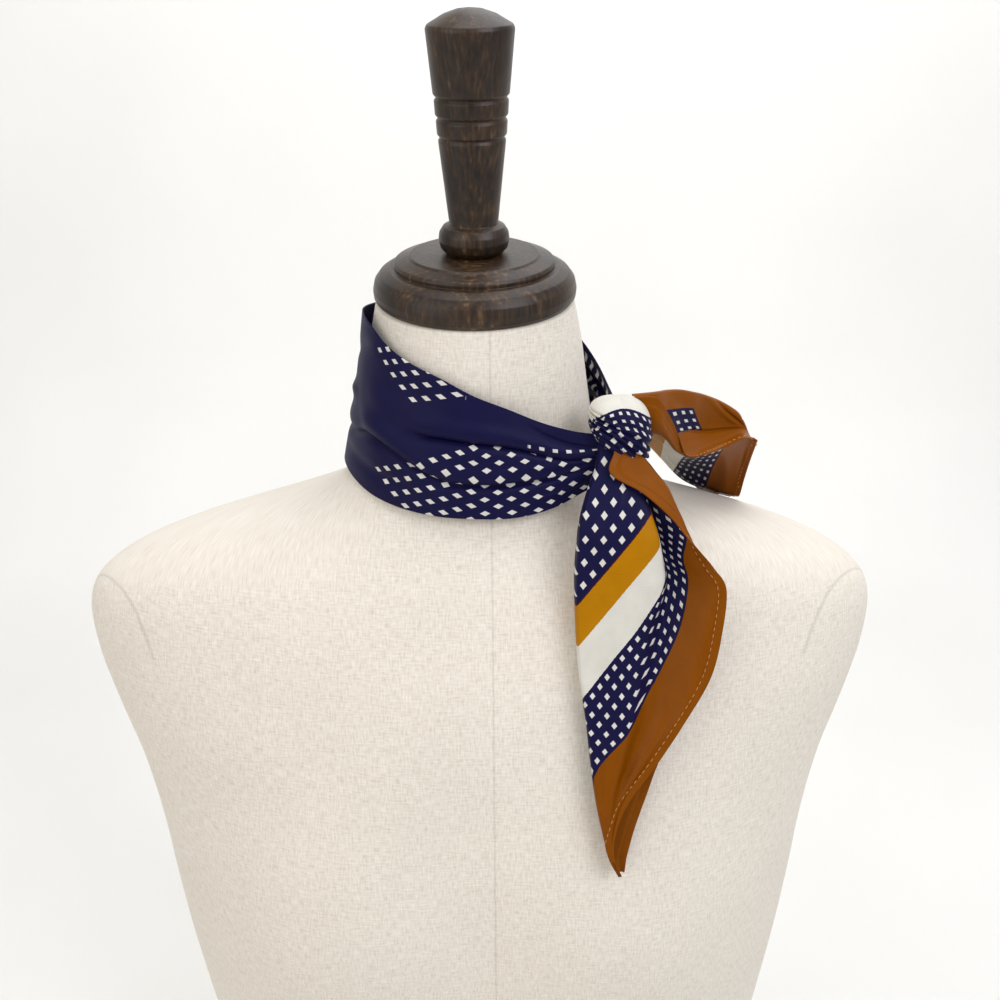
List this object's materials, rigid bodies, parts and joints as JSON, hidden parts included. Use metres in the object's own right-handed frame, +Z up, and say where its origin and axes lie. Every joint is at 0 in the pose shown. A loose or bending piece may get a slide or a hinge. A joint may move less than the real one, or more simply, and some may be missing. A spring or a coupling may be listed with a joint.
{
  "type": "silk square scarf on a dress form",
  "caption": "Silk square scarf folded into a band and knotted at the side of the neck of a limbless dress form with a turned wooden neck cap.",
  "frame": {"origin": "middle of the outline on the plane the form stands on", "axes": "+Z up, the form's front faces -Y, and the knot is on the wearer's left, at +X"},
  "size_m": [0.398, 0.2185, 0.7463],
  "materials": {
    "printed_silk": "printed silk twill, navy with small pale squares, caramel border and ochre and cream stripes, soft sheen",
    "linen_cover": "plain woven natural linen, matt",
    "stained_wood": "turned hardwood, dark stained, satin"
  },
  "bodies": {
    "root": {"neck_band": "printed_silk", "knot": "printed_silk", "front_tail": "printed_silk", "back_tail_hood": "printed_silk", "back_tail_fall": "printed_silk", "form_body": "linen_cover", "neck_cap": "stained_wood", "finial": "stained_wood"}
  },
  "joints": []
}
